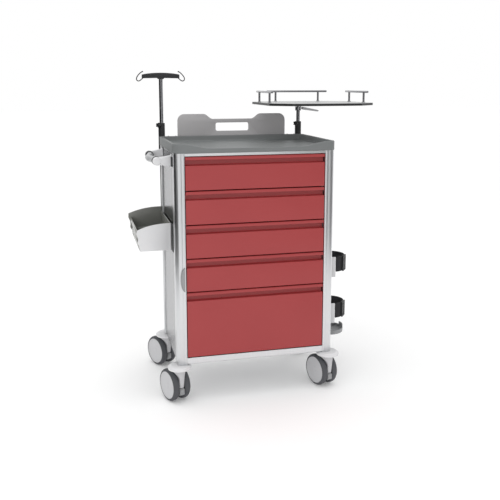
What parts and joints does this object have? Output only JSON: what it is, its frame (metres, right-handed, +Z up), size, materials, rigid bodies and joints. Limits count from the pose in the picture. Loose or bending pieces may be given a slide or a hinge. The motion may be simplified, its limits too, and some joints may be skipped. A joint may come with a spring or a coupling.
{
  "type": "crash cart",
  "caption": "Hospital crash cart: red drawer cabinet on castors with worktop tray, push plate, side handle, side bin, bottle holder, infusion pole and swivelling shelf.",
  "frame": {"origin": "on the floor, under the middle of the whole cart's width and depth, with the shelf and the bin counted in", "axes": "+X to the cart's right as one faces the drawers, +Y to its back, +Z up; the drawers open towards -Y"},
  "size_m": [1.0014, 0.6144, 1.2452],
  "materials": {
    "anodised_aluminium": "satin anodised",
    "red_enamel": "satin enamel",
    "grey_enamel": "fine textured powder coat",
    "steel_sheet": "plain zinc-coated sheet",
    "tray_plastic": "fine moulded grain",
    "white_plastic": "smooth moulded",
    "grey_plastic": "fine moulded grain",
    "black_plastic": "fine moulded grain",
    "smoked_plastic": "polished",
    "chrome": "satin chrome",
    "tyre_rubber": "fine matt",
    "laminate": "satin laminate, black edge",
    "strap_webbing": "woven webbing"
  },
  "bodies": {
    "cabinet": {"column_front_left": "anodised_aluminium", "column_front_right": "anodised_aluminium", "column_rear_left": "anodised_aluminium", "column_rear_right": "anodised_aluminium", "side_panel_left": "anodised_aluminium", "side_panel_right": "anodised_aluminium", "back_panel": "grey_enamel", "base_pan": "steel_sheet", "inner_frame": "steel_sheet", "worktop_tray": "tray_plastic", "push_plate": "grey_enamel", "bumper_front_left": "white_plastic", "bumper_front_right": "white_plastic", "bumper_rear_left": "white_plastic", "bumper_rear_right": "white_plastic", "infusion_clamp": "black_plastic", "shelf_clamp": "black_plastic", "handle_bracket_front": "white_plastic", "handle_bracket_rear": "white_plastic", "handle_tube": "grey_plastic", "bin_cheek_front": "white_plastic", "bin_cheek_rear": "smoked_plastic", "bin_liner": "smoked_plastic", "bottle_bracket": "white_plastic", "bottle_strap_upper": "strap_webbing", "bottle_strap_lower": "strap_webbing", "bottle_cup": "grey_plastic"},
    "drawer_1": {"drawer_front_1": "red_enamel", "drawer_box_1": "steel_sheet"},
    "drawer_2": {"drawer_front_2": "red_enamel", "drawer_box_2": "steel_sheet"},
    "drawer_3": {"drawer_front_3": "red_enamel", "drawer_box_3": "steel_sheet"},
    "drawer_4": {"drawer_front_4": "red_enamel", "drawer_box_4": "steel_sheet"},
    "drawer_5": {"drawer_front_5": "red_enamel", "drawer_box_5": "steel_sheet"},
    "castor_front_left": {"castor_hood_front_left": "white_plastic"},
    "wheels_front_left": {"wheel_pair_front_left": "tyre_rubber"},
    "pedal_front_left": {"brake_pedal_front_left": "grey_plastic"},
    "castor_front_right": {"castor_hood_front_right": "white_plastic"},
    "wheels_front_right": {"wheel_pair_front_right": "tyre_rubber"},
    "pedal_front_right": {"brake_pedal_front_right": "grey_plastic"},
    "castor_rear_left": {"castor_hood_rear_left": "white_plastic"},
    "wheels_rear_left": {"wheel_pair_rear_left": "tyre_rubber"},
    "pedal_rear_left": {"brake_pedal_rear_left": "grey_plastic"},
    "castor_rear_right": {"castor_hood_rear_right": "white_plastic"},
    "wheels_rear_right": {"wheel_pair_rear_right": "tyre_rubber"},
    "pedal_rear_right": {"brake_pedal_rear_right": "grey_plastic"},
    "infusion_pole": {"infusion_pole": "chrome"},
    "infusion_head": {"infusion_hook_bar": "black_plastic"},
    "infusion_knob": {"infusion_clamp_knob": "black_plastic"},
    "shelf_pole": {"shelf_pole": "chrome"},
    "shelf": {"shelf_board": "laminate", "shelf_rail_left": "chrome", "shelf_rail_right": "chrome", "shelf_rail_back": "chrome"},
    "shelf_lever": {"shelf_lever": "grey_plastic"},
    "shelf_knob": {"shelf_clamp_knob": "black_plastic"},
    "lock_lever": {"lock_lever": "grey_plastic"}
  },
  "joints": [
    {"name": "drawer_1_slide", "type": "slide", "parent": "cabinet", "child": "drawer_1", "axis": [0, -1, 0], "range_m": [0, 0.32]},
    {"name": "drawer_2_slide", "type": "slide", "parent": "cabinet", "child": "drawer_2", "axis": [0, -1, 0], "range_m": [0, 0.32]},
    {"name": "drawer_3_slide", "type": "slide", "parent": "cabinet", "child": "drawer_3", "axis": [0, -1, 0], "range_m": [0, 0.32]},
    {"name": "drawer_4_slide", "type": "slide", "parent": "cabinet", "child": "drawer_4", "axis": [0, -1, 0], "range_m": [0, 0.32]},
    {"name": "drawer_5_slide", "type": "slide", "parent": "cabinet", "child": "drawer_5", "axis": [0, -1, 0], "range_m": [0, 0.32]},
    {"name": "castor_front_left_swivel", "type": "hinge", "parent": "cabinet", "child": "castor_front_left", "pos_m": [-0.35382, -0.26225, 0.13347], "axis": [0, 0, 1], "continuous": true},
    {"name": "wheels_front_left_spin", "type": "hinge", "parent": "castor_front_left", "child": "wheels_front_left", "pos_m": [-0.36743, -0.22677, 0.06196], "axis": [0.9336, 0.3584, 0], "continuous": true},
    {"name": "pedal_front_left_press", "type": "hinge", "parent": "castor_front_left", "child": "pedal_front_left", "pos_m": [-0.36743, -0.22677, 0.06196], "axis": [0.9336, 0.3584, 0], "range_deg": [0, 10]},
    {"name": "castor_front_right_swivel", "type": "hinge", "parent": "cabinet", "child": "castor_front_right", "pos_m": [0.23818, -0.26225, 0.13347], "axis": [0, 0, 1], "continuous": true},
    {"name": "wheels_front_right_spin", "type": "hinge", "parent": "castor_front_right", "child": "wheels_front_right", "pos_m": [0.22707, -0.22591, 0.06196], "axis": [0.9563, 0.2924, 0], "continuous": true},
    {"name": "pedal_front_right_press", "type": "hinge", "parent": "castor_front_right", "child": "pedal_front_right", "pos_m": [0.22707, -0.22591, 0.06196], "axis": [0.9563, 0.2924, 0], "range_deg": [0, 10]},
    {"name": "castor_rear_left_swivel", "type": "hinge", "parent": "cabinet", "child": "castor_rear_left", "pos_m": [-0.35382, 0.10775, 0.13347], "axis": [0, 0, 1], "continuous": true},
    {"name": "wheels_rear_left_spin", "type": "hinge", "parent": "castor_rear_left", "child": "wheels_rear_left", "pos_m": [-0.37107, 0.14161, 0.06196], "axis": [0.891, 0.454, 0], "continuous": true},
    {"name": "pedal_rear_left_press", "type": "hinge", "parent": "castor_rear_left", "child": "pedal_rear_left", "pos_m": [-0.37107, 0.14161, 0.06196], "axis": [0.891, 0.454, 0], "range_deg": [0, 10]},
    {"name": "castor_rear_right_swivel", "type": "hinge", "parent": "cabinet", "child": "castor_rear_right", "pos_m": [0.23818, 0.10775, 0.13347], "axis": [0, 0, 1], "continuous": true},
    {"name": "wheels_rear_right_spin", "type": "hinge", "parent": "castor_rear_right", "child": "wheels_rear_right", "pos_m": [0.22395, 0.14298, 0.06196], "axis": [0.9272, 0.3746, 0], "continuous": true},
    {"name": "pedal_rear_right_press", "type": "hinge", "parent": "castor_rear_right", "child": "pedal_rear_right", "pos_m": [0.22395, 0.14298, 0.06196], "axis": [0.9272, 0.3746, 0], "range_deg": [0, 10]},
    {"name": "infusion_pole_height", "type": "slide", "parent": "cabinet", "child": "infusion_pole", "axis": [0, 0, 1], "range_m": [-0.12, 0.35]},
    {"name": "infusion_head_turn", "type": "hinge", "parent": "infusion_pole", "child": "infusion_head", "pos_m": [-0.35282, 0.14475, 1.21347], "axis": [0, 0, 1], "continuous": true},
    {"name": "infusion_knob_turn", "type": "hinge", "parent": "cabinet", "child": "infusion_knob", "pos_m": [-0.35282, 0.14475, 1.02747], "axis": [-0.7071, -0.7071, 0], "range_deg": [0, 270]},
    {"name": "shelf_pole_height", "type": "slide", "parent": "cabinet", "child": "shelf_pole", "axis": [0, 0, 1], "range_m": [-0.03, 0.3]},
    {"name": "shelf_swivel", "type": "hinge", "parent": "shelf_pole", "child": "shelf", "pos_m": [0.23718, 0.14475, 1.10746], "axis": [0, 0, 1], "continuous": true},
    {"name": "shelf_lever_swing", "type": "hinge", "parent": "shelf_pole", "child": "shelf_lever", "pos_m": [0.25918, 0.14475, 1.09047], "axis": [0, 1, 0], "range_deg": [0, 70]},
    {"name": "shelf_knob_turn", "type": "hinge", "parent": "cabinet", "child": "shelf_knob", "pos_m": [0.23718, 0.14475, 1.02747], "axis": [-0.7071, -0.7071, 0], "range_deg": [0, 270]},
    {"name": "lock_lever_swing", "type": "hinge", "parent": "cabinet", "child": "lock_lever", "pos_m": [-0.33032, -0.28455, 0.48046], "axis": [0, 0, 1], "range_deg": [0, 75]}
  ]
}
